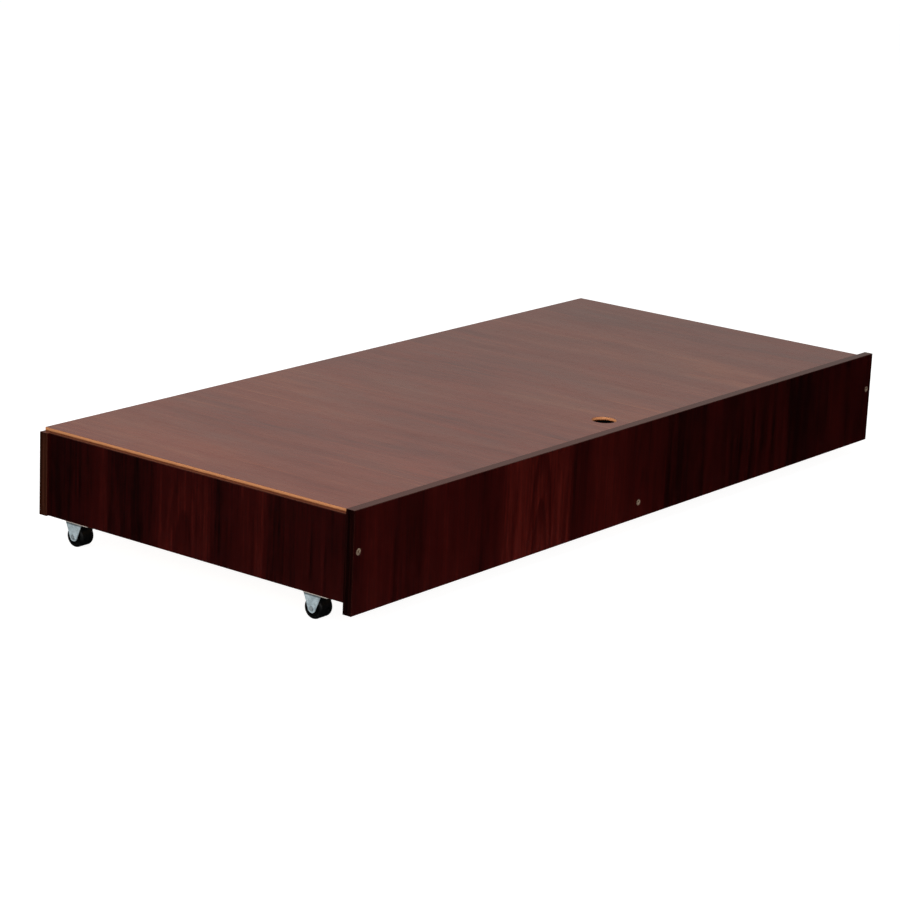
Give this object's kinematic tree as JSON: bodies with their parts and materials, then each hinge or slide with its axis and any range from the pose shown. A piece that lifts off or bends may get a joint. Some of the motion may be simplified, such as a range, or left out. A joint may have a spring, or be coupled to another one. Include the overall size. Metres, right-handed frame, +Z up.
{
  "type": "under bed box",
  "caption": "Low oblong storage box of dark wood-grain board with a loose lift-off lid and finger hole, rolling on fixed casters under a cot bed.",
  "frame": {"origin": "on the floor under the middle of the box", "axes": "+X along the length to the right, -Y towards the tall front panel, +Z up"},
  "size_m": [1.36, 0.6, 0.173],
  "materials": {
    "foiled_board": "dark mahogany melamine foil on chipboard, satin, vertical grain",
    "edge_strip": "dark mahogany melamine edge strip, satin",
    "lid_board": "mahogany foil on thin fibreboard, semi-gloss, grain across the short side, raw orange-brown edges",
    "bare_hdf": "raw brown hardboard",
    "pine": "planed pine, unvarnished",
    "beech": "turned beech, unvarnished",
    "bronzed_steel": "yellowed zinc plate",
    "zinc_screw": "bright zinc plate",
    "zinc_sheet": "blue-white zinc plated pressed sheet",
    "black_plastic": "black moulded nylon"
  },
  "bodies": {
    "carcass": {"front_panel": "foiled_board", "rear_panel": "foiled_board", "left_end_panel": "foiled_board", "right_end_panel": "foiled_board", "front_panel_edging": "edge_strip", "rear_panel_edging": "edge_strip", "left_end_panel_edging": "edge_strip", "right_end_panel_edging": "edge_strip", "bottom_board": "bare_hdf", "left_bearer": "pine", "right_bearer": "pine", "centre_bearer": "pine", "lid_batten": "pine", "front_confirmat_screws": "bronzed_steel", "rear_confirmat_screws": "bronzed_steel", "corner_dowels": "beech", "left_bearer_screws": "zinc_screw", "right_bearer_screws": "zinc_screw", "lid_batten_screws": "zinc_screw", "bottom_board_nails": "zinc_screw", "front_left_caster_bracket": "zinc_sheet", "front_left_caster_axle": "zinc_sheet", "front_left_caster_screws": "zinc_screw", "front_right_caster_bracket": "zinc_sheet", "front_right_caster_axle": "zinc_sheet", "front_right_caster_screws": "zinc_screw", "rear_left_caster_bracket": "zinc_sheet", "rear_left_caster_axle": "zinc_sheet", "rear_left_caster_screws": "zinc_screw", "rear_right_caster_bracket": "zinc_sheet", "rear_right_caster_axle": "zinc_sheet", "rear_right_caster_screws": "zinc_screw"},
    "lid": {"lid": "lid_board"},
    "front_left_wheel": {"front_left_caster_wheel": "black_plastic"},
    "front_right_wheel": {"front_right_caster_wheel": "black_plastic"},
    "rear_left_wheel": {"rear_left_caster_wheel": "black_plastic"},
    "rear_right_wheel": {"rear_right_caster_wheel": "black_plastic"}
  },
  "joints": [
    {"name": "lid_lift", "type": "slide", "parent": "carcass", "child": "lid", "axis": [0, 0, 1], "range_m": [0, 0.25]},
    {"name": "front_left_wheel_spin", "type": "hinge", "parent": "carcass", "child": "front_left_wheel", "pos_m": [-0.6595, -0.225, 0.016], "axis": [1, 0, 0], "continuous": true},
    {"name": "front_right_wheel_spin", "type": "hinge", "parent": "carcass", "child": "front_right_wheel", "pos_m": [0.6595, -0.225, 0.016], "axis": [1, 0, 0], "continuous": true},
    {"name": "rear_left_wheel_spin", "type": "hinge", "parent": "carcass", "child": "rear_left_wheel", "pos_m": [-0.6595, 0.235, 0.016], "axis": [1, 0, 0], "continuous": true},
    {"name": "rear_right_wheel_spin", "type": "hinge", "parent": "carcass", "child": "rear_right_wheel", "pos_m": [0.6595, 0.235, 0.016], "axis": [1, 0, 0], "continuous": true}
  ]
}
